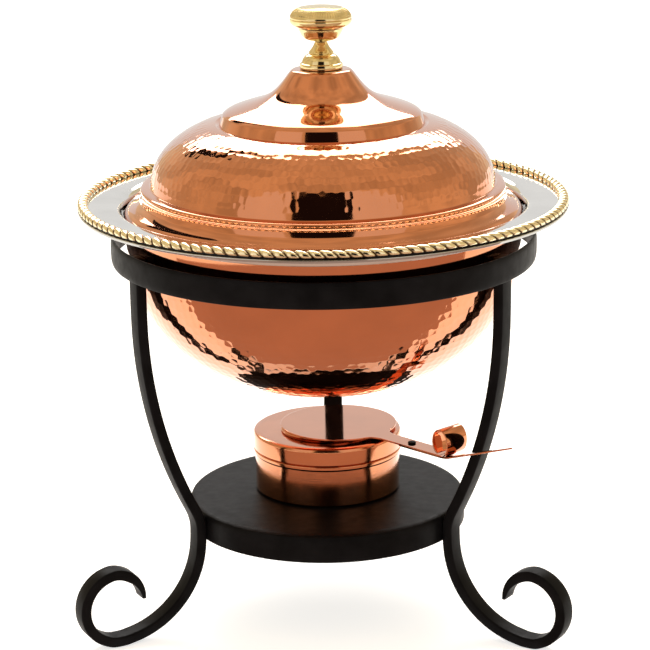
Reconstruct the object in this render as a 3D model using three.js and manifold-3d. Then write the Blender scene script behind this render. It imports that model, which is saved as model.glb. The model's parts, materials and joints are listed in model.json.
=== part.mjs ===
// A round chafing dish on a wrought-iron tripod stand, with a burner under it.
// Millimetres, +Z up, the front of the dish towards -Y. The origin is on the floor,
// under the middle of the whole object's bounding box.
import * as THREE from 'three';
import { mergeVertices } from 'three/addons/utils/BufferGeometryUtils.js';
import Module from 'manifold-3d';

const wasm = await Module();
wasm.setup();

// ---- driving dimensions -------------------------------------------------------------

const GAP = 0.3;                     // between pieces that rest against each other
const SHELL_SIDES = 48;              // facets round the dish
const BURNER_SIDES = 36;             // facets round the burner
const KNOB_SIDES = 24;               // facets round the knob

// stand
const BAR_WIDTH = 12.5;              // forged bar of the legs
const BAR_THICKNESS = 6.7;
const HOOP_RADIUS = 136;
const HOOP_THICKNESS = 2.2;
const HOOP_HEIGHT = 16.5;
const HOOP_TOP = 253.5;
const LEG_TOP = HOOP_TOP - 2;
const LEG_AZIMUTHS = { leg_back: 90, leg_front_left: 210, leg_front_right: 330 };
const UPPER_BEND = 290;              // radius of the upper leg's inward sweep
const UPPER_BEND_START = 215;        // height where the sweep begins
const LOWER_BEND = 58.75;            // radius of the lower leg's outward sweep
const SCROLL_RADIUS = 22.65;         // centre line of the foot scroll
const SCROLL_TIP_RADIUS = 17.9;      // centre line radius at the scroll's tip
const FOOT_RADIUS = 152.4;           // from the stand's axis to the scroll's centre
const FOOT_FLAT = 8;                 // length of the flat that touches the floor
const TIP_THICKNESS = 2.4;
const TIP_POINTS = 4;                // points of the centre line over which the tip tapers
const TRAY_RADIUS = 90;
const TRAY_TOP = 78;
const TRAY_LIP = 17.5;
const TRAY_SHEET = 1.5;

// dish
const SHEET = 1.3;
const RIM_RADIUS = 156;
const FLANGE_TOP = 273.5;
const FLANGE_LIP = 3;
const ROPE_WIDTH = 6.8;
const ROPE_HEIGHT = 3.8;
const EDGE_BEAD = 1.8;               // height of the bead round the flange's edge
const MOUTH_RADIUS = 128;            // the steel pan's mouth, which the lid drops into
const LEDGE_TOP = 263.2;             // the step in the mouth that carries the lid
const FOOD_PAN_FLOOR = 198.5;
const BOWL_RADIUS = 126.2;
const BOWL_TOP = 250;
const BOWL_DEPTH = 100;
const BOWL_POWER = 2.2;              // superellipse exponent of the bowl

// lid
const LID_EDGE_RADIUS = 127.2;
const BEAD_RADIUS = 115.9;
const BEAD_TOP = 284.4;
const DOME_RADIUS = 109.7;
const DOME_BASE = 281.9;
const DOME_HEIGHT = 50.7;
const DOME_POWER = 2.39;             // superellipse exponent of the dome
const NECK_TOP = 357.5;
const KNOB_TOP = 397;
const STUD_RADIUS = 2.1;

// burner
const BURNER_CENTRE = new THREE.Vector2(0, 10);
const CAP_RADIUS = 48.5;
const CAP_HEIGHT = 11.3;
const CAP_TOP = 118;
const MOUTH_NECK_RADIUS = 30;
const CUP_RADIUS = 34;
const DISC_RADIUS = 38;
const DISC_CENTRE = new THREE.Vector2(7.5, 10.5);
const DISC_BOTTOM = 120;
const ARM_AZIMUTH = -42.5;           // degrees from +X
const ARM_WIDTH = 12.6;
const ARM_SHEET = 1;
const RIVET_REACH = 66;              // along the arm from the disc's centre
const CURL_REACH = 97;
const CURL_DEPTH = 7;                // half the curl's length along the arm
const CURL_HEIGHT = 9.4;             // half the curl's height
const CURL_WIDTH = 18.5;
const CURL_SHIFT = 1.2;              // from the arm's middle to the curl's, to the right
const CURL_START = -98;              // degrees round the curl, where the arm meets it
const CURL_END = 248;
const TAIL_REACH = 150;
const TAIL_RISE = 17.3;

// The back foot reaches further out than the dish's rim does at the front, so the
// stand's axis lies a little forward of the bounding box's middle.
const FOOT_REACH = FOOT_RADIUS + SCROLL_RADIUS + BAR_THICKNESS / 2;
const STAND_Y = (RIM_RADIUS - FOOT_REACH) / 2;

// ---- materials ----------------------------------------------------------------------

function finish(color, roughness, metalness) {
  return new THREE.MeshStandardMaterial({ color, roughness, metalness });
}

const iron = finish(0x1c1a1b, 0.5, 0.3);
const copper = finish(0xc07a4c, 0.18, 1);
const steel = finish(0xc4c4c2, 0.15, 1);
const brass = finish(0xc8a050, 0.2, 1);
const wick = finish(0xd8d2c4, 0.95, 0);

// ---- geometry helpers ---------------------------------------------------------------

function radians(degrees) {
  return THREE.MathUtils.degToRad(degrees);
}

function polar(radius, degrees) {
  return [radius * Math.cos(radians(degrees)), radius * Math.sin(radians(degrees))];
}

// Revolves [radius, height] points about the Z axis.
function revolve(profile, sides) {
  const points = profile.map(([radius, height]) => new THREE.Vector2(radius, height));
  return new THREE.LatheGeometry(points, sides).rotateX(Math.PI / 2);
}

function closed(profile) {
  return [...profile, profile[0]];
}

// A line beside the profile at the given distance, on its left-hand side, with each
// corner mitred. The distance may change along the line.
function offset(profile, distance) {
  const distanceAt = typeof distance === 'function' ? distance : () => distance;
  const normals = profile.slice(1).map((point, i) => {
    const along = new THREE.Vector2(point[0] - profile[i][0], point[1] - profile[i][1]);
    return along.normalize().rotateAround(new THREE.Vector2(), Math.PI / 2);
  });
  return profile.map((point, i) => {
    const before = normals[Math.max(i - 1, 0)];
    const after = normals[Math.min(i, normals.length - 1)];
    const middle = before.clone().add(after).normalize();
    const reach = distanceAt(i) / middle.dot(after);
    const radius = point[0] === 0 ? 0 : point[0] + reach * middle.x;
    return [radius, point[1] + reach * middle.y];
  });
}

// The quarter superellipse from the axis height to the full radius.
function superellipse(radius, height, power, steps) {
  return Array.from({ length: steps + 1 }, (_, i) => {
    const angle = (i / steps) * (Math.PI / 2);
    const across = Math.sin(angle) ** (2 / power);
    const up = Math.cos(angle) ** (2 / power);
    return [radius * across, height * (i === steps ? 0 : up)];
  });
}

function flatShape(points) {
  return new THREE.Shape(points.map(([x, y]) => new THREE.Vector2(x, y)));
}

function slab(shape, bottom, thickness) {
  const settings = { depth: thickness, bevelEnabled: false, curveSegments: 10 };
  return new THREE.ExtrudeGeometry(shape, settings).translate(0, 0, bottom);
}

// Extrudes an outline drawn in the upright [outward, up] plane, centred on that plane.
function upright(points, width) {
  const settings = { depth: width, bevelEnabled: false };
  const geometry = new THREE.ExtrudeGeometry(flatShape(points), settings);
  return geometry.translate(0, 0, -width / 2).rotateX(Math.PI / 2);
}

function toManifold(geometry) {
  const bare = geometry.clone();
  bare.deleteAttribute('normal');
  bare.deleteAttribute('uv');
  const merged = mergeVertices(bare, 1e-4);
  const vertProperties = Float32Array.from(merged.attributes.position.array);
  const triVerts = Uint32Array.from(merged.index.array);
  return new wasm.Manifold(new wasm.Mesh({ numProp: 3, vertProperties, triVerts }));
}

function fromManifold(solid) {
  const mesh = solid.getMesh();
  const geometry = new THREE.BufferGeometry();
  geometry.setAttribute('position', new THREE.BufferAttribute(mesh.vertProperties, 3));
  geometry.setIndex(new THREE.BufferAttribute(mesh.triVerts, 1));
  return geometry;
}

function intersect(first, second) {
  return fromManifold(toManifold(first).intersect(toManifold(second)));
}

// ---- assembly -----------------------------------------------------------------------

const assembly = new THREE.Group();
assembly.position.y = STAND_Y;

function add(name, geometry, material, position = [0, 0, 0], azimuth = 0) {
  const mesh = new THREE.Mesh(geometry, material);
  mesh.name = name;
  mesh.position.set(...position);
  mesh.rotation.z = radians(azimuth);
  assembly.add(mesh);
}

// ---- stand --------------------------------------------------------------------------

// A flat iron band whose outer face is slightly crowned.
function hoop() {
  const inner = HOOP_RADIUS - HOOP_THICKNESS;
  const shoulder = HOOP_RADIUS - 0.8;
  const bottom = HOOP_TOP - HOOP_HEIGHT;
  return closed([
    [inner, bottom], [shoulder, bottom], [HOOP_RADIUS, bottom + 3],
    [HOOP_RADIUS, HOOP_TOP - 3], [shoulder, HOOP_TOP], [inner, HOOP_TOP],
  ]);
}

// Points on an arc, angles in degrees; the radius runs evenly from one end to the other.
function arc(centre, startRadius, endRadius, startAngle, endAngle, steps) {
  return Array.from({ length: steps + 1 }, (_, i) => {
    const t = i / steps;
    const [across, up] = polar(
      THREE.MathUtils.lerp(startRadius, endRadius, t),
      THREE.MathUtils.lerp(startAngle, endAngle, t),
    );
    return [centre[0] + across, centre[1] + up];
  });
}

// The centre line of a leg, from the hoop down to the scroll's tip.
function legCentreLine() {
  const half = BAR_THICKNESS / 2;
  const inset = HOOP_THICKNESS + 2 * GAP;
  const top = HOOP_RADIUS - inset - half;
  const waist = TRAY_RADIUS + GAP + half;
  const drop = Math.acos((top - waist) / -UPPER_BEND + 1) * (180 / Math.PI);
  const upper = arc([top - UPPER_BEND, UPPER_BEND_START], UPPER_BEND, UPPER_BEND, 0, -drop, 9);
  const lowerCentre = [FOOT_RADIUS, half + LOWER_BEND];
  const lower = arc(lowerCentre, LOWER_BEND, LOWER_BEND, 180, 264, 9);
  const scrollCentre = [FOOT_RADIUS, half + SCROLL_RADIUS];
  const flatEnd = [FOOT_RADIUS + FOOT_FLAT / 2, half];
  const flatStart = [FOOT_RADIUS - FOOT_FLAT / 2, half];
  const scroll = arc(scrollCentre, SCROLL_RADIUS, SCROLL_RADIUS, -68, 75, 11);
  const curlIn = arc(scrollCentre, SCROLL_RADIUS, SCROLL_TIP_RADIUS, 88, 168, 6);
  return [[top, LEG_TOP], ...upper, ...lower, flatStart, flatEnd, ...scroll, ...curlIn];
}

// The bar's outline round its centre line, drawn out to a thin tip over the last stretch.
function legOutline() {
  const line = legCentreLine();
  const last = line.length - 1;
  const halfThickness = (i) => {
    const taper = Math.max(0, (i - (last - TIP_POINTS)) / TIP_POINTS);
    return THREE.MathUtils.lerp(BAR_THICKNESS, TIP_THICKNESS, taper) / 2;
  };
  const outer = offset(line, halfThickness);
  const inner = offset(line, (i) => -halfThickness(i));
  return [...outer, ...inner.reverse()];
}

function tray() {
  const outer = TRAY_RADIUS;
  const inner = outer - TRAY_SHEET;
  const bottom = TRAY_TOP - TRAY_LIP;
  const under = TRAY_TOP - TRAY_SHEET;
  return [
    [0, under], [inner - 3, under], [inner - 0.8, under - 1], [inner, under - 3.2], [inner, bottom],
    [outer, bottom], [outer, TRAY_TOP - 4], [outer - 1.2, TRAY_TOP - 1.2], [outer - 4, TRAY_TOP],
    [0, TRAY_TOP],
  ];
}

add('stand_hoop', revolve(hoop(), SHELL_SIDES), iron);
for (const [name, azimuth] of Object.entries(LEG_AZIMUTHS)) {
  add(name, upright(legOutline(), BAR_WIDTH), iron, [0, 0, 0], azimuth);
}
add('burner_tray', revolve(tray(), SHELL_SIDES), iron);

// ---- dish ---------------------------------------------------------------------------

// The water pan: a round-bottomed bowl whose wall runs straight up to carry the food pan.
function waterPan() {
  const rim = LEDGE_TOP - SHEET - GAP;
  const bowl = superellipse(BOWL_RADIUS, -BOWL_DEPTH, BOWL_POWER, 9)
    .map(([radius, height]) => [radius, height + BOWL_TOP]);
  const outer = [...bowl, [BOWL_RADIUS, rim]];
  return [...outer, ...offset(outer, SHEET).reverse()];
}

// The food pan: a steel well, the step that carries the lid, and a wide flat flange.
function foodPan() {
  const beadTop = FLANGE_TOP - FLANGE_LIP + EDGE_BEAD;
  const neck = RIM_RADIUS - 1.6;
  const top = [
    [0, FOOD_PAN_FLOOR], [94, FOOD_PAN_FLOOR], [102, 201.5], [107.5, 207.5],
    [122.2, 257], [122.7, LEDGE_TOP], [MOUTH_RADIUS, LEDGE_TOP],
    [MOUTH_RADIUS, 267.4], [128.6, 270.2], [130.4, 272.5], [133.2, FLANGE_TOP],
    [neck, FLANGE_TOP], [neck, beadTop], [RIM_RADIUS, beadTop],
  ];
  const under = [
    [RIM_RADIUS, FLANGE_TOP - FLANGE_LIP], [neck - SHEET, FLANGE_TOP - FLANGE_LIP],
    [neck - SHEET, FLANGE_TOP - SHEET], [133.5, FLANGE_TOP - SHEET],
    [131.2, 271.4], [129.8, 269.7], [MOUTH_RADIUS + SHEET, 267.1],
    [MOUTH_RADIUS + SHEET, LEDGE_TOP - SHEET], [124, LEDGE_TOP - SHEET], [123.5, 256.8],
    [108.8, 206.9], [102.8, 200.4], [94.2, FOOD_PAN_FLOOR - SHEET], [0, FOOD_PAN_FLOOR - SHEET],
  ];
  return [...under.reverse(), ...top.reverse()];
}

// The rope border: a half-round ring along the flange's edge.
function ropeBorder() {
  const middle = RIM_RADIUS - ROPE_WIDTH / 2;
  const bottom = FLANGE_TOP + GAP;
  return Array.from({ length: 7 }, (_, i) => {
    const angle = (i / 6) * 180;
    const [across, up] = polar(1, angle);
    return [middle + across * (ROPE_WIDTH / 2), bottom + up * ROPE_HEIGHT];
  });
}

add('water_pan', revolve(waterPan(), SHELL_SIDES), copper);
add('food_pan', revolve(foodPan(), SHELL_SIDES), steel);
add('rope_border', revolve(closed(ropeBorder()), SHELL_SIDES), brass);

// ---- lid ----------------------------------------------------------------------------

// From the bottom edge up: the ogee skirt, the bead, the dome, the raised tier, the
// shallow top and the bell-shaped neck that carries the knob.
function lidOutside() {
  const dome = superellipse(DOME_RADIUS, DOME_HEIGHT, DOME_POWER, 11)
    .map(([radius, height]) => [radius, height + DOME_BASE])
    .filter(([radius, height]) => radius > 70 && height > BEAD_TOP + 1)
    .reverse();
  return [
    [LID_EDGE_RADIUS, LEDGE_TOP + GAP], [126.6, 268], [124.4, 271.2], [119.8, 273.4],
    [116.6, 275.9], [115.4, 279.5], [BEAD_RADIUS, 281.6], [BEAD_RADIUS, 283.4],
    [114.4, BEAD_TOP], [DOME_RADIUS + 0.3, BEAD_TOP + 0.4], ...dome,
    [67.5, 323.7], [65.4, 322.3], [64.3, 325.4], [62.8, 329.4], [59.5, 331.8],
    [50, 335], [40.5, 337.8], [33, 341.2], [27, 346.6], [22.4, 352.6], [19.6, 356.4],
    [17.8, NECK_TOP], [STUD_RADIUS + 0.5, NECK_TOP],
  ];
}

function lid() {
  const outside = lidOutside();
  const inside = offset(outside, SHEET);
  inside[0] = [LID_EDGE_RADIUS - SHEET, LEDGE_TOP + GAP];
  inside[inside.length - 1] = [STUD_RADIUS + 0.5, NECK_TOP - SHEET];
  return closed([...outside, ...inside.reverse()]);
}

function knobFoot() {
  const bottom = NECK_TOP + GAP;
  const bore = STUD_RADIUS + GAP;
  return [
    [0, bottom + 11], [bore, bottom + 11], [bore, bottom], [13.4, bottom], [13.6, bottom + 1.7],
    [13.3, bottom + 3.2], [12.4, bottom + 3.6], [11.6, bottom + 6.2], [9.6, bottom + 8.4],
    [7.4, bottom + 9.2], [8, bottom + 10], [7.4, bottom + 10.8], [5.3, bottom + 13.4],
    [3.9, bottom + 16.5], [0, bottom + 16.5],
  ];
}

function knobCup() {
  return [
    [0, 374.6], [4, 374.6], [5.2, 375.2], [8.6, 375.7], [10.8, 376.7], [12.3, 378.3],
    [13.2, 380.2], [14, 381.9], [14.4, 383.4], [0, 383.4],
  ];
}

// The cap, with a fine ring above its plain band, a sloping shoulder and a domed top.
function knobCap() {
  return [
    [0, 383.7], [15.2, 383.7], [17.5, 384.6], [19, 386], [19.5, 387.4], [19.5, 389],
    [19, 389.3], [19.5, 389.7], [19.5, 390.6], [19, 391.6], [17.6, 393.8],
    [14.9, KNOB_TOP - 1.5], [13.9, KNOB_TOP - 1.1], [8, KNOB_TOP - 0.3], [0, KNOB_TOP],
  ];
}

// The stud that holds the knob, with its head and a washer inside the lid.
function knobScrew() {
  const headTop = NECK_TOP - SHEET - 2 * GAP - 1.2;
  return [
    [0, headTop - 3], [4, headTop - 3], [4, headTop], [STUD_RADIUS, headTop],
    [STUD_RADIUS, NECK_TOP + 10], [0, NECK_TOP + 10],
  ];
}

function knobWasher() {
  const top = NECK_TOP - SHEET - GAP;
  const bore = STUD_RADIUS + GAP;
  return closed([[bore, top - 1.2], [9, top - 1.2], [9, top], [bore, top]]);
}

add('lid_dome', revolve(lid(), SHELL_SIDES), copper);
add('knob_foot', revolve(knobFoot(), KNOB_SIDES), brass);
add('knob_cup', revolve(knobCup(), KNOB_SIDES), brass);
add('knob_cap', revolve(knobCap(), KNOB_SIDES), brass);
add('knob_screw', revolve(knobScrew(), KNOB_SIDES), steel);
add('knob_washer', revolve(knobWasher(), KNOB_SIDES), steel);

// ---- burner -------------------------------------------------------------------------

// The can, with a bead round it that the cap comes down on.
function burnerCan() {
  const bottom = TRAY_TOP + GAP;
  const outer = CAP_RADIUS - 1.1;
  const inner = outer - 1;
  const beadTop = CAP_TOP - CAP_HEIGHT - GAP;
  return [
    [0, bottom], [outer - 1, bottom], [outer, bottom + 1], [outer, beadTop - 3.6],
    [CAP_RADIUS, beadTop - 2.8], [CAP_RADIUS, beadTop - 0.8], [outer, beadTop],
    [outer, CAP_TOP - 3], [inner, CAP_TOP - 3], [inner, bottom + 1.2], [0, bottom + 1.2],
  ];
}

// The cap, with a raised neck round the mouth where the flame burns.
function burnerCap() {
  const bottom = CAP_TOP - CAP_HEIGHT;
  const inner = CAP_RADIUS - 0.8;
  const under = CAP_TOP - 1;
  const neckTop = DISC_BOTTOM - GAP;
  const neckInner = MOUTH_NECK_RADIUS - 1;
  return closed([
    [inner, bottom], [CAP_RADIUS, bottom], [CAP_RADIUS, CAP_TOP - 2.2],
    [CAP_RADIUS - 0.7, CAP_TOP - 0.7], [CAP_RADIUS - 2.2, CAP_TOP],
    [MOUTH_NECK_RADIUS + 0.4, CAP_TOP], [MOUTH_NECK_RADIUS, CAP_TOP + 0.5],
    [MOUTH_NECK_RADIUS, neckTop], [neckInner, neckTop], [neckInner, under],
    [inner - 1.6, under], [inner, under - 1.6],
  ]);
}

function fuelCup() {
  const bottom = TRAY_TOP + GAP + 1.2 + GAP;
  const rim = CAP_TOP - 4;
  return [
    [0, bottom], [CUP_RADIUS - 1.5, bottom], [CUP_RADIUS, bottom + 1.5], [CUP_RADIUS, rim],
    [CUP_RADIUS - 1, rim], [CUP_RADIUS - 1, bottom + 2], [CUP_RADIUS - 2, bottom + 1],
    [0, bottom + 1],
  ];
}

function disc(radius, bottom, height) {
  return [[0, bottom], [radius, bottom], [radius, bottom + height], [0, bottom + height]];
}

const burnerPlace = [BURNER_CENTRE.x, BURNER_CENTRE.y, 0];
const wickRadius = CUP_RADIUS - 1 - GAP;
add('burner_can', revolve(burnerCan(), BURNER_SIDES), copper, burnerPlace);
add('burner_cap', revolve(burnerCap(), BURNER_SIDES), copper, burnerPlace);
add('fuel_cup', revolve(fuelCup(), BURNER_SIDES), steel, burnerPlace);
add('wick_pad', revolve(disc(wickRadius - 1, 82, 25), BURNER_SIDES), wick, burnerPlace);
add('wick_screen', revolve(disc(wickRadius, 107.3, 1), BURNER_SIDES), steel, burnerPlace);

// ---- snuffer cover ------------------------------------------------------------------

// Drawn with the arm along +X from the disc's centre, then turned to its azimuth.
function snufferCover() {
  const half = ARM_WIDTH / 2;
  const flare = Math.asin((half + 7) / DISC_RADIUS);
  const start = [DISC_RADIUS * Math.cos(flare), DISC_RADIUS * Math.sin(flare)];
  const root = DISC_RADIUS + 9;
  const end = CURL_REACH + polar(CURL_DEPTH, CURL_START)[0] - GAP;
  const shape = new THREE.Shape();
  shape.moveTo(...start);
  shape.absarc(0, 0, DISC_RADIUS, flare, 2 * Math.PI - flare, false);
  shape.quadraticCurveTo(DISC_RADIUS - 1, -half, root, -half);
  shape.lineTo(end, -half);
  shape.lineTo(end, half);
  shape.lineTo(root, half);
  shape.quadraticCurveTo(DISC_RADIUS - 1, half, ...start);
  const hole = new THREE.Path();
  hole.absarc(RIVET_REACH, 0, 1.9, 0, 2 * Math.PI, true);
  shape.holes.push(hole);
  const settings = { depth: ARM_SHEET, bevelEnabled: false, curveSegments: 28 };
  return new THREE.ExtrudeGeometry(shape, settings).translate(0, 0, DISC_BOTTOM);
}

// The thumb curl: the arm's end rolled up and back; it closes in a little past the top.
function curlOutline() {
  const steps = 24;
  const half = ARM_SHEET / 2;
  const line = Array.from({ length: steps + 1 }, (_, i) => {
    const angle = THREE.MathUtils.lerp(CURL_START, CURL_END, i / steps);
    const shrink = 1 - 0.22 * Math.max(0, (angle - 120) / (CURL_END - 120));
    const [across, up] = polar(shrink, angle);
    return [
      CURL_REACH + across * (CURL_DEPTH - half),
      DISC_BOTTOM + CURL_HEIGHT + up * (CURL_HEIGHT - half),
    ];
  });
  return [...offset(line, -half), ...offset(line, half).reverse()];
}

// The flat strip riveted under the arm, which runs out to a raised point.
function tailStrip() {
  const top = DISC_BOTTOM - GAP;
  const bendAt = CURL_REACH + 1.5;
  const start = RIVET_REACH - 7;
  const side = [
    [start, top - ARM_SHEET], [bendAt, top - ARM_SHEET], [TAIL_REACH, top + TAIL_RISE - ARM_SHEET],
    [TAIL_REACH, top + TAIL_RISE], [bendAt, top], [start, top],
  ];
  const half = ARM_WIDTH / 2 - 1.3;
  const plan = new THREE.Shape();
  plan.moveTo(start, -half);
  plan.lineTo(bendAt, -half);
  plan.quadraticCurveTo(bendAt + 25, -half + 1.5, TAIL_REACH, -0.4);
  plan.lineTo(TAIL_REACH, 0.4);
  plan.quadraticCurveTo(bendAt + 25, half - 1.5, bendAt, half);
  plan.lineTo(start, half);
  const hole = new THREE.Path();
  hole.absarc(RIVET_REACH, 0, 1.9, 0, 2 * Math.PI, true);
  plan.holes.push(hole);
  const height = TAIL_RISE + 10;
  return intersect(upright(side, 2 * ARM_WIDTH), slab(plan, top - 5, height));
}

function snufferRivet() {
  const armTop = DISC_BOTTOM + ARM_SHEET + GAP;
  const stripBottom = DISC_BOTTOM - 2 * GAP - ARM_SHEET;
  return [
    [0, stripBottom - 0.8], [2.8, stripBottom - 0.8], [2.8, stripBottom], [1.5, stripBottom],
    [1.5, armTop], [2.8, armTop], [2.4, armTop + 0.9], [0, armTop + 0.9],
  ];
}

const discPlace = [DISC_CENTRE.x, DISC_CENTRE.y, 0];
const rivetPlace = [
  DISC_CENTRE.x + polar(RIVET_REACH, ARM_AZIMUTH)[0],
  DISC_CENTRE.y + polar(RIVET_REACH, ARM_AZIMUTH)[1],
  0,
];
add('snuffer_cover', snufferCover(), copper, discPlace, ARM_AZIMUTH);
const curl = upright(curlOutline(), CURL_WIDTH).translate(0, CURL_SHIFT, 0);
add('snuffer_curl', curl, copper, discPlace, ARM_AZIMUTH);
add('snuffer_tail', tailStrip(), copper, discPlace, ARM_AZIMUTH);
add('snuffer_rivet', revolve(snufferRivet(), 16), iron, rivetPlace);

export default assembly;
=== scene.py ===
"""The looks of a round copper chafing dish on an iron tripod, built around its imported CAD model.

Turned pieces take their outline from the CAD node, have its corners rounded, and are turned
again finely, so that polished metal reflects cleanly. Forged bars, sheet pieces, the twisted
rope and the hammer marks are modelled on top of the same outlines. Metres, +Z up.
"""

import json
import math

import bmesh
import bpy
import numpy as np
from mathutils import Matrix, Quaternion, Vector


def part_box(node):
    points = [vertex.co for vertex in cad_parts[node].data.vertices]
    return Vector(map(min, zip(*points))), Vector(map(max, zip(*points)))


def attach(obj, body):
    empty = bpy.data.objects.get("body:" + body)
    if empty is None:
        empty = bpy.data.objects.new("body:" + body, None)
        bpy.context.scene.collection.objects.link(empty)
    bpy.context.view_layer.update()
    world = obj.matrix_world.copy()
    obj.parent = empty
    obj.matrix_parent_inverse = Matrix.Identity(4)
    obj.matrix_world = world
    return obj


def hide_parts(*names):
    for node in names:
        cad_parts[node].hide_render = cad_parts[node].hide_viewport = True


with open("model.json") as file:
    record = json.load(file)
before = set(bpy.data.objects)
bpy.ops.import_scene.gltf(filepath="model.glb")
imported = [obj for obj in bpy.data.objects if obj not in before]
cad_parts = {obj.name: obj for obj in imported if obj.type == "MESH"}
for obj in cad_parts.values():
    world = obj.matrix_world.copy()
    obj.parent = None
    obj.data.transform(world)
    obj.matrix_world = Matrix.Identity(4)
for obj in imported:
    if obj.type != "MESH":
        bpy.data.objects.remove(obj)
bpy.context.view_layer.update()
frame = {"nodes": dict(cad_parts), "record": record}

MM = 0.001
TINY = 0.01 * MM                     # two places closer than this are the same
FULL_TURN = 2 * math.pi
SHARP = math.radians(33)             # a corner that turns more than this stays a corner
LONGEST_CUT = 1.5                    # the most a gentle corner is cut back, in shorter sides
SHARP_CUT = 0.45                     # the most a sharp one is

BODIES = frame["record"]["behaviour"]["bodies"]
BODY_OF = {node: body for body, nodes in BODIES.items() for node in nodes}
SLOT_OF = {part["node"]: part["material_slot"] for part in frame["record"]["subparts"]}
COLOURS = {item["slot"]: item["base_color"] for item in frame["record"]["materials"]}


# ---- materials ------------------------------------------------------------------------

NOISE_LOW, NOISE_HIGH = 0.3, 0.7     # nearly all of a noise's values lie between these
COPPER_DEPTH = 1.25                  # how much deeper polished copper looks than its flat colour
BRIGHT_STRAND = (0.93, 0.8, 0.52)
TARNISH = (0.09, 0.04, 0.012)


class Shader:
    """A material whose nodes are added one call at a time."""

    def __init__(self, name, **settings):
        self.material = bpy.data.materials.new(name)
        self.material.use_nodes = True
        self.tree = self.material.node_tree
        self.surface = self.tree.nodes["Principled BSDF"]
        self.place = self.node("ShaderNodeTexCoord").outputs["Object"]
        for key, value in settings.items():
            self.surface.inputs[key.replace("_", " ")].default_value = value

    def node(self, kind, inputs=(), **attributes):
        made = self.tree.nodes.new(kind)
        for key, value in attributes.items():
            setattr(made, key, value)
        for key, value in dict(inputs).items():
            if isinstance(value, bpy.types.NodeSocket):
                self.tree.links.new(value, made.inputs[key])
            else:
                made.inputs[key].default_value = value
        return made

    def stretched(self, scale):
        """The object's own coordinates, scaled on each axis."""
        inputs = {"Vector": self.place, "Scale": scale}
        return self.node("ShaderNodeMapping", inputs).outputs["Vector"]

    def noise(self, scale, detail=3.0, vector=None):
        inputs = {"Vector": vector or self.place, "Scale": scale, "Detail": detail}
        return self.node("ShaderNodeTexNoise", inputs).outputs["Fac"]

    def spread(self, value, low, high):
        """Maps a noise's usual range onto low to high."""
        made = self.node("ShaderNodeMapRange", {"Value": value, "To Min": low, "To Max": high})
        made.inputs["From Min"].default_value = NOISE_LOW
        made.inputs["From Max"].default_value = NOISE_HIGH
        return made.outputs["Result"]

    def colours(self, value, first, second):
        """Blends the base colour from first to second over a noise's usual range."""
        ramp = self.node("ShaderNodeValToRGB", {"Fac": value})
        ramp.color_ramp.elements[0].color = (*first, 1)
        ramp.color_ramp.elements[0].position = NOISE_LOW
        ramp.color_ramp.elements[1].color = (*second, 1)
        ramp.color_ramp.elements[1].position = NOISE_HIGH
        self.tree.links.new(ramp.outputs["Color"], self.surface.inputs["Base Color"])

    def roughness(self, value, low, high):
        spread = self.spread(value, low, high)
        self.tree.links.new(spread, self.surface.inputs["Roughness"])

    def bump(self, height, distance, strength=1.0, under=None):
        """Adds a bump over the one that made the normal under, if there is one."""
        inputs = {"Height": height, "Distance": distance, "Strength": strength}
        if under is not None:
            inputs["Normal"] = under
        made = self.node("ShaderNodeBump", inputs).outputs["Normal"]
        self.tree.links.new(made, self.surface.inputs["Normal"])
        return made


def shade(colour, factor):
    return tuple(channel * factor for channel in colour)


def deepened(colour, power):
    """The same hue, more saturated: as polished metal looks beside its flat colour."""
    return tuple(channel**power for channel in colour)


def copper(name, low, high, grain):
    """Lacquered copper, low to high in roughness, with faint clouding, a slight unevenness
    and spinning lines as deep as the grain."""
    look = Shader(name, Metallic=1.0, Coat_Weight=0.8, Coat_Roughness=0.05)
    base = deepened(COLOURS["polished_copper"], COPPER_DEPTH)
    look.colours(look.noise(38.0), shade(base, 0.94), shade(base, 1.05))
    look.roughness(look.noise(120.0, 5.0), low, high)
    turned_lines = look.noise(1.0, 2.0, look.stretched((60.0, 60.0, 3200.0)))
    uneven = look.bump(look.noise(45.0, 1.0), 0.05 * MM, 0.5)
    look.bump(turned_lines, grain, 0.6, uneven)
    return look.material


def painted_iron():
    """Satin black paint over forged iron: a fine orange-peel skin on broad hammered waves."""
    look = Shader("satin_black_paint", Specular_IOR_Level=0.05)
    base = COLOURS["black_iron"]
    look.colours(look.noise(60.0), shade(base, 0.35), shade(base, 0.8))
    look.roughness(look.noise(160.0, 4.0), 0.36, 0.46)
    waves = look.bump(look.noise(110.0, 1.0), 0.35 * MM, 0.5)
    look.bump(look.noise(1700.0, 2.0), 0.03 * MM, 0.6, waves)
    return look.material


def mirror_steel():
    """Stainless steel with a mirror polish, faintly uneven in tone; painted shade darkens the
    recess where its groove is 1.
    """
    look = Shader("mirror_steel", Metallic=1.0)
    base = COLOURS["mirror_steel"]
    groove = look.node("ShaderNodeAttribute", attribute_name="groove").outputs["Fac"]
    uneven = look.spread(look.noise(30.0), 0.28, 0.34)
    # painted shade: the groove value (1 in the recess under the rope) plus faint random unevenness
    painted_shade_and_unevenness = look.node("ShaderNodeMath", {0: groove, 1: uneven}, operation="ADD")
    look.colours(painted_shade_and_unevenness.outputs["Value"], base, shade(base, 0.02))
    look.roughness(look.noise(90.0, 5.0), 0.03, 0.09)
    look.bump(look.noise(35.0, 1.0), 0.05 * MM, 0.4)
    return look.material


def brass():
    """Polished brass with faint clouding."""
    look = Shader("polished_brass", Metallic=1.0)
    base = COLOURS["polished_brass"]
    look.colours(look.noise(220.0), shade(base, 0.9), shade(base, 1.06))
    look.roughness(look.noise(300.0, 4.0), 0.08, 0.16)
    look.bump(look.noise(700.0, 2.0), 0.01 * MM, 0.5)
    return look.material


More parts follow.
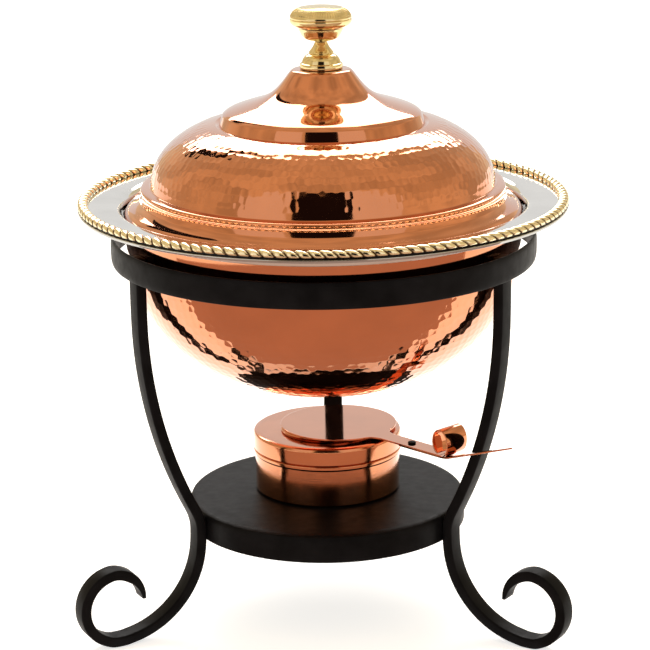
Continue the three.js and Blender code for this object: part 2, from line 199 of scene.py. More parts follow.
def rope_brass():
    """Pale polished strands with tarnish left in the grooves, where the mesh's groove is 1."""
    look = Shader("rope_brass", Metallic=1.0)
    groove = look.node("ShaderNodeAttribute", attribute_name="groove").outputs["Fac"]
    uneven = look.spread(look.noise(500.0), 0.75, 1.25)
    tarnish = look.node("ShaderNodeMath", {0: groove, 1: uneven}, operation="MULTIPLY")
    look.colours(tarnish.outputs["Value"], BRIGHT_STRAND, TARNISH)
    look.roughness(tarnish.outputs["Value"], 0.14, 0.45)
    look.bump(look.noise(900.0, 2.0), 0.01 * MM, 0.5)
    return look.material


def plain_steel():
    """Dull steel, faintly lined along its height."""
    look = Shader("plain_steel", Metallic=1.0)
    base = COLOURS["plain_steel"]
    look.colours(look.noise(150.0), shade(base, 0.85), shade(base, 1.05))
    look.roughness(look.noise(200.0, 4.0), 0.25, 0.4)
    look.bump(look.noise(1.0, 2.0, look.stretched((900.0, 900.0, 90.0))), 0.02 * MM)
    return look.material


def wick_fibre():
    """Pale wadding: short tangled fibres over a lumpy pad."""
    look = Shader("wick_fibre", Roughness=0.95, Sheen_Weight=0.4)
    base = COLOURS["wick_fibre"]
    tangle = look.noise(900.0, 6.0, look.stretched((1.0, 1.0, 0.3)))
    look.colours(tangle, shade(base, 0.6), shade(base, 1.1))
    look.bump(tangle, 0.4 * MM)
    return look.material


LOOKS = {
    "black_iron": painted_iron(),
    "polished_copper": copper("polished_copper", 0.04, 0.09, 0.006 * MM),
    "mirror_steel": mirror_steel(),
    "polished_brass": brass(),
    "plain_steel": plain_steel(),
    "wick_fibre": wick_fibre(),
}
BRUSHED_COPPER = copper("brushed_copper", 0.1, 0.17, 0.02 * MM)
ROPE_BRASS = rope_brass()


# ---- reading the frame ----------------------------------------------------------------


def chain(links):
    """The places in order along the line or loop that their links make."""
    ends = [place for place, near in links.items() if len(near) == 1]
    start = min(ends or links)
    path, ahead = [start], min(links[start])
    while ahead is not None and ahead != start:
        previous, here = path[-1], ahead
        path.append(here)
        ahead = next((place for place in links[here] if place != previous), None)
    return path


def link(links, first, second):
    links.setdefault(first, set()).add(second)
    links.setdefault(second, set()).add(first)


def axis_of(node):
    low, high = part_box(node)
    return Vector(((low.x + high.x) / 2, (low.y + high.y) / 2, 0))


def anticlockwise(points):
    """The same outline, turned round if it runs clockwise."""
    ahead = np.roll(points, -1, axis=0)
    area = np.sum(points[:, 0] * ahead[:, 1] - ahead[:, 0] * points[:, 1])
    return points if area > 0 else points[::-1]


def section(node):
    """A turned node's outline in front of its axis: (radius, height), anticlockwise."""
    axis = axis_of(node)
    mesh = frame["nodes"][node].data
    places = {}
    for vertex in mesh.vertices:
        radius = axis.y - vertex.co.y
        if abs(vertex.co.x - axis.x) < TINY and radius > -TINY:
            places[vertex.index] = (round(abs(radius), 6), round(vertex.co.z, 6))
    links = {}
    for edge in mesh.edges:
        first, second = (places.get(index) for index in edge.vertices)
        if first and second and first != second:
            link(links, first, second)
    return anticlockwise(np.array(chain(links)))


def flat_outline(node, to_plane):
    """The outer outline of a flat-sided node, once to_plane has laid that side level."""
    mesh = frame["nodes"][node].data
    laid = [to_plane @ vertex.co for vertex in mesh.vertices]
    top = max(point.z for point in laid)
    uses = {}
    for face in mesh.polygons:
        corners = [laid[index] for index in face.vertices]
        if all(top - corner.z < TINY for corner in corners):
            places = [(round(corner.x, 6), round(corner.y, 6)) for corner in corners]
            for first, second in zip(places, places[1:] + places[:1]):
                edge = frozenset((first, second))
                uses[edge] = uses.get(edge, 0) + 1
    links = {}
    for edge, count in uses.items():
        if count == 1:
            link(links, *edge)
    return np.array(chain(links))


# ---- outlines -------------------------------------------------------------------------


def soften(points, loop, fillet, spacing=1.0 * MM):
    """Rounds each corner of an outline: gentle ones widely, sharp ones by the fillet."""
    count = len(points)
    result = [] if loop else [points[0]]
    corners = range(count) if loop else range(1, count - 1)
    for i in corners:
        here = points[i]
        back, ahead = points[i - 1] - here, points[(i + 1) % count] - here
        lengths = np.linalg.norm(back), np.linalg.norm(ahead)
        turn = math.pi - math.acos(np.clip(back @ ahead / (lengths[0] * lengths[1]), -1, 1))
        if turn < SHARP:
            most = LONGEST_CUT * min(lengths)
            cuts = min(lengths[0] / 2, most), min(lengths[1] / 2, most)
        else:
            cuts = (min(fillet, SHARP_CUT * min(lengths)),) * 2
        start = here + back / lengths[0] * cuts[0]
        end = here + ahead / lengths[1] * cuts[1]
        steps = max(4, math.ceil(np.linalg.norm(end - start) / spacing))
        for t in np.linspace(0, 1, steps + 1):
            result.append((1 - t) ** 2 * start + 2 * t * (1 - t) * here + t * t * end)
    if not loop:
        result.append(points[-1])
    result = np.array(result)
    apart = np.linalg.norm(result - np.roll(result, 1, axis=0), axis=1) > TINY / 2
    return result[apart]


def refine(points, loop, longest):
    """Splits every stretch that is longer than longest(middle) allows."""
    result = []
    count = len(points)
    for i in range(count if loop else count - 1):
        here, ahead = points[i], points[(i + 1) % count]
        limit = longest((here + ahead) / 2)
        steps = max(1, math.ceil(np.linalg.norm(ahead - here) / limit))
        result.extend(here + (ahead - here) * step / steps for step in range(steps))
    if not loop:
        result.append(points[-1])
    return np.array(result)


def evenly(spacing):
    """The longest stretch that refine() allows, the same everywhere."""
    return lambda middle: spacing


def outline_normals(points, loop):
    """Unit normals on the right-hand side of the line, which is outside a turned solid."""
    if loop:
        along = np.roll(points, -1, axis=0) - np.roll(points, 1, axis=0)
    else:
        along = np.gradient(points, axis=0)
    normals = np.stack([along[:, 1], -along[:, 0]], axis=1)
    return normals / np.linalg.norm(normals, axis=1, keepdims=True)


def distances(points):
    """How far along the line each point lies."""
    steps = np.linalg.norm(np.diff(points, axis=0), axis=1)
    return np.concatenate([[0], np.cumsum(steps)])


# ---- meshes ---------------------------------------------------------------------------

PLAIN_STEP = 8 * MM                  # the longest stretch of a plain turned outline
CORNER_STEPS = 4                     # facets round each edge of a bar
FULLEST_CORNER = 0.48                # the most of a bar's size that a rounded edge may take
PLATE_EDGE_DEGREES = (0, 30, 60, 90)   # the steps from a plate's face round to its side


def stand_in(node, vertices, faces, material=None):
    """A finished piece that replaces one CAD node, on the same body and in the same slot."""
    name = node + "_finished"
    body, slot = BODY_OF[node], SLOT_OF[node]
    mesh = bpy.data.meshes.new(name)
    mesh.from_pydata(vertices, [], faces)
    mesh.polygons.foreach_set("use_smooth", [True] * len(mesh.polygons))
    mesh.materials.append(material or LOOKS[slot])
    piece = bpy.data.objects.new(name, mesh)
    bpy.context.scene.collection.objects.link(piece)
    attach(piece, body)
    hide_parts(node)
    return piece


def mark_groove(piece, depth):
    """Stores a value from 0 to 1 for each vertex, for the material: how deep in a groove it lies,
    or how much painted shade it gets.
    """
    attribute = piece.data.attributes.new("groove", "FLOAT", "POINT")
    attribute.data.foreach_set("value", depth)


def face_outward(piece):
    """Turns every face of a closed mesh outward."""
    work = bmesh.new()
    work.from_mesh(piece.data)
    bmesh.ops.recalc_face_normals(work, faces=work.faces)
    work.to_mesh(piece.data)
    work.free()


def revolve(radius, height, azimuth, axis, loop):
    """Vertices and faces of a turned grid; radius and height hold a row for each outline
    point and a column for each azimuth. A row on the axis becomes one vertex."""
    rows, columns = radius.shape
    index = np.zeros((rows, columns), int)
    vertices = []
    for row in range(rows):
        on_axis = radius[row].max() < TINY
        index[row] = len(vertices) + (0 if on_axis else np.arange(columns))
        kept = slice(0, 1) if on_axis else slice(None)
        x = axis.x + radius[row, kept] * np.cos(azimuth[kept])
        y = axis.y + radius[row, kept] * np.sin(azimuth[kept])
        vertices.extend(zip(x, y, height[row, kept]))
    faces = []
    for row in range(rows if loop else rows - 1):
        here, ahead = index[row], index[(row + 1) % rows]
        turned = np.stack([here, np.roll(here, -1), np.roll(ahead, -1), ahead], axis=1)
        if here[0] == here[-1]:
            turned = turned[:, [0, 2, 3]]
        elif ahead[0] == ahead[-1]:
            turned = turned[:, [0, 1, 2]]
        faces.extend(turned.tolist())
    return vertices, faces


def turned(node, sides, fillet=0.4 * MM, longest=evenly(PLAIN_STEP), shape=None, material=None):
    """Turns a node's rounded outline again. shape gives how far each grid point moves
    along the outline's normal."""
    points = section(node)
    loop = min(points[0, 0], points[-1, 0]) > TINY
    points = soften(points, loop, fillet)
    points = refine(points, loop, longest)
    azimuth = np.arange(sides) * FULL_TURN / sides
    radius = np.repeat(points[:, :1], sides, axis=1)
    height = np.repeat(points[:, 1:], sides, axis=1)
    if shape:
        normals = outline_normals(points, loop)
        moved = shape(points, normals, azimuth)
        radius = radius + moved * normals[:, :1]
        height = height + moved * normals[:, 1:]
    vertices, faces = revolve(radius, height, azimuth, axis_of(node), loop)
    return stand_in(node, vertices, faces, material)


def rounded_section():
    """The corners of a bar's section: which way each lies, and its turn round the corner."""
    result = []
    for quarter in range(4):
        for step in range(CORNER_STEPS + 1):
            angle = (quarter + step / CORNER_STEPS) * math.pi / 2
            side = math.copysign(1, math.cos((quarter + 0.5) * math.pi / 2))
            up = math.copysign(1, math.sin((quarter + 0.5) * math.pi / 2))
            result.append((side, up, math.cos(angle), math.sin(angle)))
    return result


def tube_faces(rows, count):
    """The faces of rings of count vertices each, joined in order and closed at both ends."""
    faces = [list(range(count)), list(range((rows - 1) * count, rows * count))]
    for low in range(0, (rows - 1) * count, count):
        high = low + count
        for i in range(count):
            j = (i + 1) % count
            faces.append([low + i, low + j, high + j, high + i])
    return faces


def bar(path, across, widths, thicknesses, corner):
    """Sweeps a bar with rounded edges along a path; across is the way its width lies."""
    path = np.asarray(path)
    across = np.asarray(across)
    along = np.gradient(path, axis=0)
    along /= np.linalg.norm(along, axis=1, keepdims=True)
    normals = np.cross(along, across)
    ring = rounded_section()
    vertices = []
    for place, normal, width, thickness in zip(path, normals, widths, thicknesses):
        edge = min(corner, FULLEST_CORNER * width, FULLEST_CORNER * thickness)
        for side, up, cosine, sine in ring:
            out = side * (width / 2 - edge) + cosine * edge
            lift = up * (thickness / 2 - edge) + sine * edge
            vertices.append(tuple(place + across * out + normal * lift))
    return vertices, tube_faces(len(path), len(ring))


def plate(points, bottom, thickness, fillet):
    """A flat sheet cut to an outline, with rounded edges."""
    inward = -outline_normals(points, True)
    edge = [(3 * fillet, 0)]
    for angle in np.radians(PLATE_EDGE_DEGREES):
        edge.append((fillet * (1 - math.sin(angle)), fillet * (1 - math.cos(angle))))
    layers = [(inset, bottom + rise) for inset, rise in edge]
    layers += [(inset, bottom + thickness - rise) for inset, rise in reversed(edge)]
    vertices = []
    for inset, height in layers:
        vertices.extend((x, y, height) for x, y in points + inward * inset)
    return vertices, tube_faces(len(layers), len(points))


# ---- hammering ------------------------------------------------------------------------

RING_STEP = 0.86                     # from one ring of marks to the next, in pitches
MARK_REACH = 0.64                    # a mark's radius, in pitches
MARK_SIZES = (0.82, 1.08)            # the smallest and the largest mark, in usual sizes
MARK_SPAN = 1.3                      # further than any mark reaches from its ring, in pitches
STRAY = 0.2                          # how far a mark may lie out of place, in pitches
EDGE_FADE = 2 * MM                   # the marks deepen over this far from the band's edges
NEAR_AXIS = 5 * MM                   # an outline this near the axis is outside, and has no edge


def hammer_marks(along, radius, azimuth, pitch, seed):
    """How far into its nearest hammer mark each grid point lies: 1 at a mark's middle, and
    0 outside. The marks lie in staggered rings, each a little out of place."""
    random = np.random.default_rng(seed)
    depth = np.zeros((len(along), len(azimuth)))
    for row, centre in enumerate(np.arange(pitch / 2, along[-1], RING_STEP * pitch)):
        ring = np.interp(centre, along, radius)
        count = max(1, round(FULL_TURN * ring / pitch))
        spacing = FULL_TURN / count
        stagger = 0.5 * (row % 2)
        marks = (np.arange(count) + stagger + random.uniform(-STRAY, STRAY, count)) * spacing
        shift = random.uniform(-STRAY, STRAY, count) * pitch
        sizes = MARK_REACH * pitch * random.uniform(*MARK_SIZES, count)
        near = np.flatnonzero(np.abs(along - centre) < MARK_SPAN * pitch)
        nearest = np.round(azimuth / spacing - stagger).astype(int)
        for step in (-1, 0, 1):
            which = (nearest + step) % count
            turn = (azimuth - marks[which] + math.pi) % FULL_TURN - math.pi
            sideways = turn[None, :] * radius[near, None]
            endways = (along[near, None] - centre) - shift[which][None, :]
            inside = 1 - (sideways**2 + endways**2) / sizes[which][None, :] ** 2
            depth[near] = np.maximum(depth[near], inside)
    return depth


def longest_run(rows):
    """The longest stretch of consecutive numbers."""
    return max(np.split(rows, np.flatnonzero(np.diff(rows) > 1) + 1), key=len)


def hammered(heights, pitch, depth, seed):
    """A shape for turned(): hammer marks on the outside, between two heights."""

    def shape(points, normals, azimuth):
        by_axis = points[:, 0] < NEAR_AXIS
        outside = (normals[:, 0] > 0) | by_axis
        inside_band = (points[:, 1] > heights[0]) & (points[:, 1] < heights[1])
        rows = longest_run(np.flatnonzero(outside & inside_band))
        moved = np.zeros((len(points), len(azimuth)))
        along = distances(points[rows])
        marks = hammer_marks(along, points[rows, 0], azimuth, pitch, seed)
        from_edge = np.where(by_axis[rows], EDGE_FADE, np.minimum(along, along[-1] - along))
        moved[rows] = -depth * marks * np.clip(from_edge / EDGE_FADE, 0, 1)[:, None]
        return moved

    return shape


# ---- stand ----------------------------------------------------------------------------

STAND_AXIS = axis_of("stand_hoop")
BAR_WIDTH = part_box("leg_back")[1].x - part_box("leg_back")[0].x
BAR_CORNER = 1.3 * MM
LEG_STEP = 2.5 * MM
LEGS = {"leg_back": 90, "leg_front_left": 210, "leg_front_right": 330}   # azimuth, degrees


def radial_plane(centre, azimuth):
    """Lays the upright plane at an azimuth level: outward becomes X, and up becomes Y."""
    spin = Matrix.Rotation(-azimuth, 4, "Z") @ Matrix.Translation(-centre)
    return Matrix.Rotation(math.pi / 2, 4, "X").inverted() @ spin


def middle_line(outline, start):
    """The centre line and thickness of a bent bar, from its outline. start is near the
    middle of the end where it begins."""
    middles = (outline + np.roll(outline, -1, axis=0)) / 2
    first = np.argmin(np.linalg.norm(middles - np.array(start), axis=1))
    outline = np.roll(outline, -first - 1, axis=0)
    half = len(outline) // 2
    one, other = outline[:half], outline[::-1][:half]
    return (one + other) / 2, np.linalg.norm(one - other, axis=1)


def rounded_line(line, spacing):
    """An open line with its corners rounded, in steps of up to the spacing."""
    return refine(soften(line, False, 1 * MM, spacing), False, evenly(spacing))


def smooth_line(line, values, spacing):
    """Rounds a centre line and spreads the values given at its points along it."""
    rounded = rounded_line(line, spacing)
    at = distances(rounded) / distances(rounded)[-1]
    return rounded, np.interp(at, distances(line) / distances(line)[-1], values)


def leg(node, azimuth):
    """A forged flat bar, softly rounded, drawn out to a thin tip in its foot scroll."""
    angle = math.radians(azimuth)
    outward = Vector((math.cos(angle), math.sin(angle), 0))
    across = Vector((-outward.y, outward.x, 0))
    outline = flat_outline(node, radial_plane(STAND_AXIS, angle))
    top = outline[outline[:, 1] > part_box(node)[1].z - TINY].mean(axis=0)
    line, thickness = middle_line(outline, top)
    line, thickness = smooth_line(line, thickness, LEG_STEP)
    widths = np.full(len(line), BAR_WIDTH)
    path = [STAND_AXIS + outward * out + Vector((0, 0, up)) for out, up in line]
    vertices, faces = bar(path, across, widths, thickness, BAR_CORNER)
    face_outward(stand_in(node, vertices, faces))


for node, azimuth in LEGS.items():
    leg(node, azimuth)
turned("stand_hoop", 192, 0.9 * MM)
turned("burner_tray", 192, 0.5 * MM)


# ---- dish -----------------------------------------------------------------------------

DISH_SIDES = 720
HAMMER_STEP = 0.9 * MM
BOWL_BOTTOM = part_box("water_pan")[0].z
BOWL_HAMMERED = (BOWL_BOTTOM - TINY, BOWL_BOTTOM + 84 * MM)
ROPE_TWISTS = 132
TWIST_COLUMNS = 14                   # columns of vertices to a twist
ROPE_ROWS = 19                       # rows of vertices across the rope
ROPE_FULLNESS = 0.75                 # 1 is half-round, and less is fuller at the sides
ROPE_SLANT = 2.2                     # radians of a twist, for each radian across the rope
GROOVE_DEPTH = 0.42                  # of the rope's height
GROOVE_NARROWNESS = 1.7              # 1 is a plain wave, and more is narrower
RECESS_START, RECESS_END = 2 * MM, 0.9 * MM   # the recess under the rope that gets painted shade, in from the edge
BEAD_PAINTED_SHADE = 0.15                 # painted shade on the pan's edge bead, beside the recess's 1


def fine_between(heights):
    """The longest stretch that refine() allows, shorter where the outline is hammered."""
    return lambda middle: HAMMER_STEP if heights[0] < middle[1] < heights[1] else PLAIN_STEP


def water_pan():
    """The copper bowl, hammered from its middle almost up to the hoop."""
    marks = hammered(BOWL_HAMMERED, pitch=6.2 * MM, depth=0.16 * MM, seed=5)
    turned("water_pan", DISH_SIDES, 0.5 * MM, fine_between(BOWL_HAMMERED), marks)


def rope_border():
    """A half-round rope of twisted strands, swept round the flange's edge."""
    low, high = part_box("rope_border")
    outline = section("rope_border")
    middle = (outline[:, 0].min() + outline[:, 0].max()) / 2
    half_width = (outline[:, 0].max() - outline[:, 0].min()) / 2
    columns = ROPE_TWISTS * TWIST_COLUMNS
    azimuth = np.arange(columns) * FULL_TURN / columns
    crossing = np.linspace(0, math.pi, ROPE_ROWS)[:, None]
    strand = azimuth[None, :] * ROPE_TWISTS - ROPE_SLANT * (math.pi - crossing)
    groove = (1 - np.abs(np.sin(strand / 2))) ** GROOVE_NARROWNESS
    swell = 1 - GROOVE_DEPTH * groove
    radius = middle + half_width * np.cos(crossing) * (0.5 + 0.5 * swell)
    height = low.z + (high.z - low.z) * np.sin(crossing) ** ROPE_FULLNESS * swell
    vertices, faces = revolve(radius, height, azimuth, axis_of("rope_border"), True)
    rope = stand_in("rope_border", vertices, faces, ROPE_BRASS)
    mark_groove(rope, groove.ravel())


def food_pan():
    """The steel pan, with painted shade in the recess under the rope and lighter painted shade on
    its edge bead.
    """
    pan = turned("food_pan", 288, 0.45 * MM, evenly(4 * MM))
    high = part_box("food_pan")[1]
    axis = axis_of("food_pan")
    reach = high.x - axis.x
    places = np.array([vertex.co for vertex in pan.data.vertices])
    radius = np.hypot(places[:, 0] - axis.x, places[:, 1] - axis.y)
    below_top = places[:, 2] < high.z - 0.1 * MM
    recess = below_top & (radius > reach - RECESS_START) & (radius < reach - RECESS_END)
    bead = below_top & (radius >= reach - RECESS_END)
    # painted shade: full in the recess under the rope, partial on the edge bead
    mark_groove(pan, recess * 1.0 + bead * BEAD_PAINTED_SHADE)


water_pan()
food_pan()
rope_border()


# ---- lid ------------------------------------------------------------------------------

LID_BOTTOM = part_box("lid_dome")[0].z
LID_HAMMERED = (LID_BOTTOM + 23.6 * MM, LID_BOTTOM + 59.6 * MM)
KNOB_RIBS = 66
RIB_DEPTH = 0.6 * MM
RIB_LEAN = 1.2                       # half-pitches that a rib leans, down the cap's height
RIBBED_MIDDLE, RIBBED_HALF = 3.2 * MM, 2.4 * MM   # the ribbed band, down from the cap's top
RIBBED_SLOPES = (0.3, 0.95)          # how far up a normal points where the cap is ribbed


def lid():
    """The copper dome, hammered between its bead and its tier."""
    marks = hammered(LID_HAMMERED, pitch=5.4 * MM, depth=0.17 * MM, seed=11)
    turned("lid_dome", DISH_SIDES, 0.5 * MM, fine_between(LID_HAMMERED), marks)


def ribbed_shoulder(points, normals, azimuth):
    """A shape for turned(): slanting ribs on the cap's sloping shoulder."""
    low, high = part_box("knob_cap")
    sloping = (normals[:, 1] > RIBBED_SLOPES[0]) & (normals[:, 1] < RIBBED_SLOPES[1])
    slope = sloping & (np.abs(points[:, 1] - (high.z - RIBBED_MIDDLE)) < RIBBED_HALF)
    lean = (high.z - points[:, 1]) / (high.z - low.z) * RIB_LEAN
    ribs = np.abs(np.sin((azimuth[None, :] * KNOB_RIBS + lean[:, None] * math.pi) / 2))
    return -RIB_DEPTH * slope[:, None] * (1 - ribs)


def knob():
    """The turned brass stack on the lid's neck, with its steel screw and washer."""
    turned("knob_foot", 128, 0.2 * MM)
    turned("knob_cup", 128, 0.2 * MM)
    turned("knob_cap", KNOB_RIBS * 8, 0.25 * MM, evenly(0.8 * MM), ribbed_shoulder)
    turned("knob_screw", 48, 0.3 * MM)
    turned("knob_washer", 64, 0.2 * MM)


lid()
knob()


# ---- burner ---------------------------------------------------------------------------

SCREEN_PITCH = 2.6 * MM
SCREEN_WIRE = 0.42 * MM
WIRE_STEP = 0.65 * MM                # between the rings of vertices along a wire
LUMP_HEIGHT = 0.35 * MM


def wick_pad():
    """The pad's own outline, made lumpy with a sum of waves."""

    def lumps(points, normals, azimuth):
        turns = azimuth[None, :]
        along = distances(points)[:, None] / MM
        return LUMP_HEIGHT * (np.sin(9 * turns + along / 3) * np.sin(along / 2.1 + 5 * turns) - 1)

    turned("wick_pad", 144, 1.5 * MM, evenly(1.2 * MM), lumps)


def screen_wire(offset, reach, level, phase, turn):
    """One wire of the woven screen, as a wavy round bar."""
    steps = np.linspace(-reach, reach, max(4, int(2 * reach / WIRE_STEP)))
    wave = SCREEN_WIRE * 0.5 * np.cos(math.pi * steps / SCREEN_PITCH + phase)
    spin = Matrix.Rotation(turn, 3, "Z")
    centre = axis_of("wick_screen")
    path = [centre + spin @ Vector((x, offset, 0)) + Vector((0, 0, level + z))
            for x, z in zip(steps, wave)]
    sizes = np.full(len(path), SCREEN_WIRE)
    return bar(path, spin @ Vector((0, 1, 0)), sizes, sizes, SCREEN_WIRE / 2)


def wick_screen():
    """A disc of plain-woven wire."""
    low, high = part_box("wick_screen")
    edge = (high.x - low.x) / 2 - SCREEN_WIRE
    level = (low.z + high.z) / 2
    vertices, faces = [], []
    count = int(edge / SCREEN_PITCH)
    for number in range(-count, count + 1):
        offset = number * SCREEN_PITCH
        reach = math.sqrt(edge**2 - offset**2)
        for turn, phase in ((0, 0), (math.pi / 2, math.pi)):
            wire = screen_wire(offset, reach, level, phase + number * math.pi, turn)
            faces.extend([[i + len(vertices) for i in face] for face in wire[1]])
            vertices.extend(wire[0])
    face_outward(stand_in("wick_screen", vertices, faces))


turned("burner_can", 256, 0.35 * MM, material=BRUSHED_COPPER)
turned("burner_cap", 256, 0.35 * MM, material=BRUSHED_COPPER)
turned("fuel_cup", 160, 0.3 * MM)
wick_pad()
wick_screen()


# ---- snuffer cover --------------------------------------------------------------------


def tip_direction(node, start):
    """The level direction from a place to a node's furthest point."""
    reaches = [(vertex.co - start).to_2d() for vertex in frame["nodes"][node].data.vertices]
    longest = max(reach.length for reach in reaches)
    tip = sum((reach for reach in reaches if longest - reach.length < TINY), Vector((0, 0)))
    return tip.normalized().to_3d()


STRIP_CORNER = 0.3 * MM
CURL_WIDENING = 7 * MM               # the curl reaches its full width over this length
CURL_OVERLAP = 0.5 * MM              # how far the curl starts inside the arm
ARM_START = axis_of("snuffer_rivet")
ARM_ALONG = tip_direction("snuffer_tail", ARM_START)
ARM_ACROSS = Vector((-ARM_ALONG.y, ARM_ALONG.x, 0))


def arm_places(node):
    """A node's corners as distances along the arm from its rivet, across it, and up."""
    corners = [vertex.co for vertex in frame["nodes"][node].data.vertices]
    return np.array([((co - ARM_START).dot(ARM_ALONG), (co - ARM_START).dot(ARM_ACROSS), co.z)
                     for co in corners])


def arm_strip(node, line, widths, thickness, shifts=0):
    """A strip with rounded edges, bent along a line of (along, up) points over the arm, and
    shifted across it."""
    path = [ARM_START + ARM_ALONG * along + ARM_ACROSS * shift + Vector((0, 0, up))
            for (along, up), shift in zip(line, np.broadcast_to(shifts, len(line)))]
    thicknesses = np.full(len(line), thickness)
    vertices, faces = bar(path, ARM_ACROSS, widths, thicknesses, STRIP_CORNER)
    face_outward(stand_in(node, vertices, faces))


def snuffer_plate():
    """The flat disc and its arm."""
    low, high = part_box("snuffer_cover")
    outline = anticlockwise(flat_outline("snuffer_cover", Matrix.Identity(4)))
    outline = soften(outline, True, 0.4 * MM, 1.5 * MM)
    vertices, faces = plate(outline, low.z, high.z - low.z, STRIP_CORNER)
    face_outward(stand_in("snuffer_cover", vertices, faces))


def snuffer_curl():
    """The arm's end, widening as it rolls up; it starts inside the arm's end."""
    arm = arm_places("snuffer_cover")
    end = arm[:, 0].max()
    arm_width = 2 * np.abs(arm[arm[:, 0] > end - TINY, 1]).max()
    curl = arm_places("snuffer_curl")[:, 1]
    low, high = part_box("snuffer_cover")
    level = (low.z + high.z) / 2
    azimuth = math.atan2(ARM_ALONG.y, ARM_ALONG.x)
    outline = flat_outline("snuffer_curl", radial_plane(ARM_START, azimuth))
    line = middle_line(outline, (end, level))[0]
    line = np.vstack([(end - CURL_OVERLAP, level), line[1:]])
    line = rounded_line(line, 0.5 * MM)
    stretch = (0, CURL_WIDENING)
    widths = np.interp(distances(line), stretch, (arm_width, curl.max() - curl.min()))
    shifts = np.interp(distances(line), stretch, (0, (curl.max() + curl.min()) / 2))
    arm_strip("snuffer_curl", line, widths, high.z - low.z, shifts)


def snuffer_tail():
    """The strip under the arm, which tapers to a raised point."""
    places = arm_places("snuffer_tail")
    places = places[np.abs(places[:, 0]) > 3 * MM]
    along = np.unique(np.round(places[:, 0], 5))
    rows = [places[np.abs(places[:, 0] - here) < 2 * TINY] for here in along]
    widths = np.array([2 * np.abs(row[:, 1]).max() for row in rows])
    levels = np.array([(row[:, 2].min() + row[:, 2].max()) / 2 for row in rows])
    line, widths = smooth_line(np.stack([along, levels], axis=1), widths, 1.5 * MM)
    low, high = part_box("snuffer_cover")
    arm_strip("snuffer_tail", line, widths, high.z - low.z)


snuffer_plate()
snuffer_curl()
snuffer_tail()
turned("snuffer_rivet", 48, 0.5 * MM)


# ---- floor, lights and camera ---------------------------------------------------------

CAMERA_PLACE = Vector((0.0711, -1.5757, 0.6284))
CAMERA_YAW = math.radians(2.6)
CAMERA_PITCH = 0.2729                # radians below level
CAMERA_ROLL = -0.014                 # radians
CAMERA_LENS = 139.46
ROOM = (0.73, 0.6, 0.39)
ROOM_UNEVENNESS = (0.78, 1.22)       # the room's dimmest and brightest patches, beside ROOM
TO_FRONT, TO_BACK, UPWARD = (0, -1, 0), (0, 1, 0), (0, 0, 1)


def camera():
    """A long lens, a little above the rim and nearly straight in front."""
    data = bpy.data.cameras.new("camera")
    data.sensor_width = 36
    data.lens = CAMERA_LENS
    made = bpy.data.objects.new("camera", data)
    bpy.context.scene.collection.objects.link(made)
    tilt = Matrix.Rotation(math.pi / 2 - CAMERA_PITCH, 4, "X")
    spin = Matrix.Rotation(CAMERA_YAW, 4, "Z")
    roll = Matrix.Rotation(CAMERA_ROLL, 4, "Z")
    made.matrix_world = Matrix.Translation(CAMERA_PLACE) @ spin @ tilt @ roll
    bpy.context.scene.camera = made


def glowing(name, colour, strength):
    """A plain emitting material, for the cards that the metal reflects."""
    material = bpy.data.materials.new(name)
    material.use_nodes = True
    tree = material.node_tree
    tree.nodes.clear()
    emission = tree.nodes.new("ShaderNodeEmission")
    emission.inputs["Color"].default_value = (*colour, 1)
    emission.inputs["Strength"].default_value = strength
    output = tree.nodes.new("ShaderNodeOutputMaterial")
    tree.links.new(emission.outputs["Emission"], output.inputs["Surface"])
    return material


def staged_sheet(name, centre, facing, size, material, seen=False):
    """A flat rectangle that isn't part of the object."""
    x, y = size[0] / 2, size[1] / 2
    corners = [(-x, -y, 0), (x, -y, 0), (x, y, 0), (-x, y, 0)]
    mesh = bpy.data.meshes.new(name)
    mesh.from_pydata(corners, [], [(0, 1, 2, 3)])
    mesh.materials.append(material)
    sheet = bpy.data.objects.new(name, mesh)
    turn = Quaternion() if facing == UPWARD else Vector(facing).to_track_quat("Z", "Y")
    sheet.rotation_euler = turn.to_euler()
    sheet.location = centre
    sheet.visible_camera = seen
    bpy.context.scene.collection.objects.link(sheet)
    return sheet


def floor():
    """A white floor that keeps a faint shadow, just under the feet."""
    material = bpy.data.materials.new("pale_floor")
    material.use_nodes = True
    surface = material.node_tree.nodes["Principled BSDF"]
    surface.inputs["Base Color"].default_value = (0.86, 0.86, 0.86, 1)
    surface.inputs["Roughness"].default_value = 0.9
    surface.inputs["Specular IOR Level"].default_value = 0.1
    surface.inputs["Emission Color"].default_value = (1, 1, 1, 1)
    surface.inputs["Emission Strength"].default_value = 0.7
    staged_sheet("floor", (0, 0, -0.5 * MM), UPWARD, (30, 30), material, seen=True)


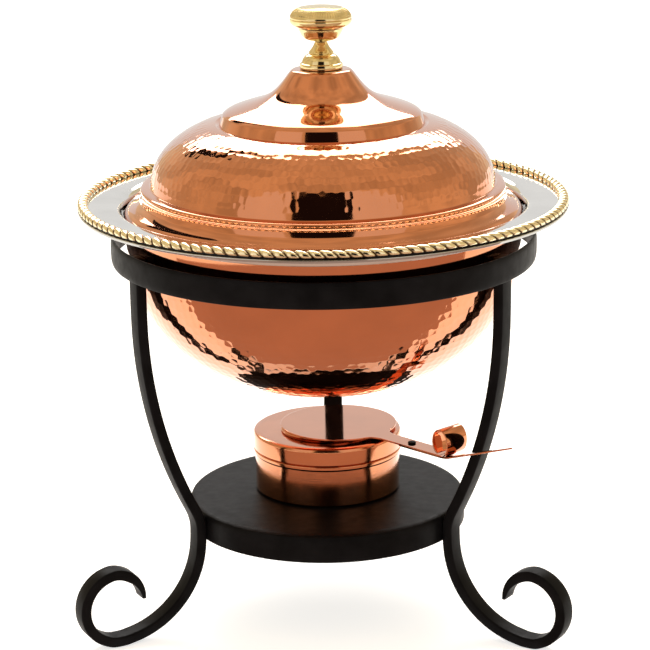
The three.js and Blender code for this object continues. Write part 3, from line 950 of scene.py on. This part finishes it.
def sky():
    """A patchy, warm mid tone all round, as the metal sees it, and plain white behind."""
    world = bpy.data.worlds.new("studio")
    bpy.context.scene.world = world
    world.use_nodes = True
    nodes, links = world.node_tree.nodes, world.node_tree.links
    seen = nodes.new("ShaderNodeLightPath")
    mix = nodes.new("ShaderNodeMix")
    mix.data_type = "RGBA"
    mix.inputs["B"].default_value = (1, 1, 1, 1)
    patches = nodes.new("ShaderNodeTexNoise")
    patches.inputs["Scale"].default_value = 3.2
    room = nodes.new("ShaderNodeValToRGB")
    links.new(patches.outputs["Fac"], room.inputs["Fac"])
    for element, place, factor in zip(room.color_ramp.elements, (0.35, 0.65), ROOM_UNEVENNESS):
        element.position = place
        element.color = (*shade(ROOM, factor), 1)
    links.new(nodes.new("ShaderNodeTexCoord").outputs["Generated"], patches.inputs["Vector"])
    links.new(room.outputs["Color"], mix.inputs["A"])
    links.new(seen.outputs["Is Camera Ray"], mix.inputs["Factor"])
    links.new(mix.outputs["Result"], nodes["Background"].inputs["Color"])


def studio():
    """What the metal reflects: a bright board high behind with a dark card by it, a pale
    backdrop below them, and a dark doorway between pale walls in front. The warm floor there
    lights nothing else, so that the white floor shows no step."""
    floor()
    sky()
    white = glowing("white_board", (1.0, 0.97, 0.94), 6.5)
    backdrop = glowing("backdrop", (0.84, 0.82, 0.79), 1.0)
    pale = glowing("pale_wall", (1.0, 0.93, 0.83), 0.95)
    warm = glowing("warm_floor", (0.62, 0.4, 0.3), 1.0)
    dark = glowing("dark_doorway", (0.012, 0.008, 0.008), 1.0)
    staged_sheet("board_behind", (-0.12, 1.7, 2.5), TO_FRONT, (1.95, 2.8), white)
    staged_sheet("backdrop_behind", (0, 1.75, 0.55), TO_FRONT, (1.7, 1.1), backdrop)
    carpet = staged_sheet("floor_in_front", (0.85, -1.5, 0.002), UPWARD, (4.4, 2.8), warm)
    carpet.visible_diffuse = False
    carpet.visible_shadow = False
    staged_sheet("doorway", (0.07, -2.0, 1.2), TO_BACK, (1.4, 2.1), dark)
    staged_sheet("dark_corner", (-1.3, 1.72, 2.3), TO_FRONT, (0.4, 1.8), dark)
    for name, x in (("wall_1", -1.7), ("wall_3", 1.7)):
        staged_sheet(name, (x, -1.95, 1.35), TO_BACK, (1.9, 2.1), pale)
    bpy.context.scene.view_settings.view_transform = "Standard"


studio()
camera()
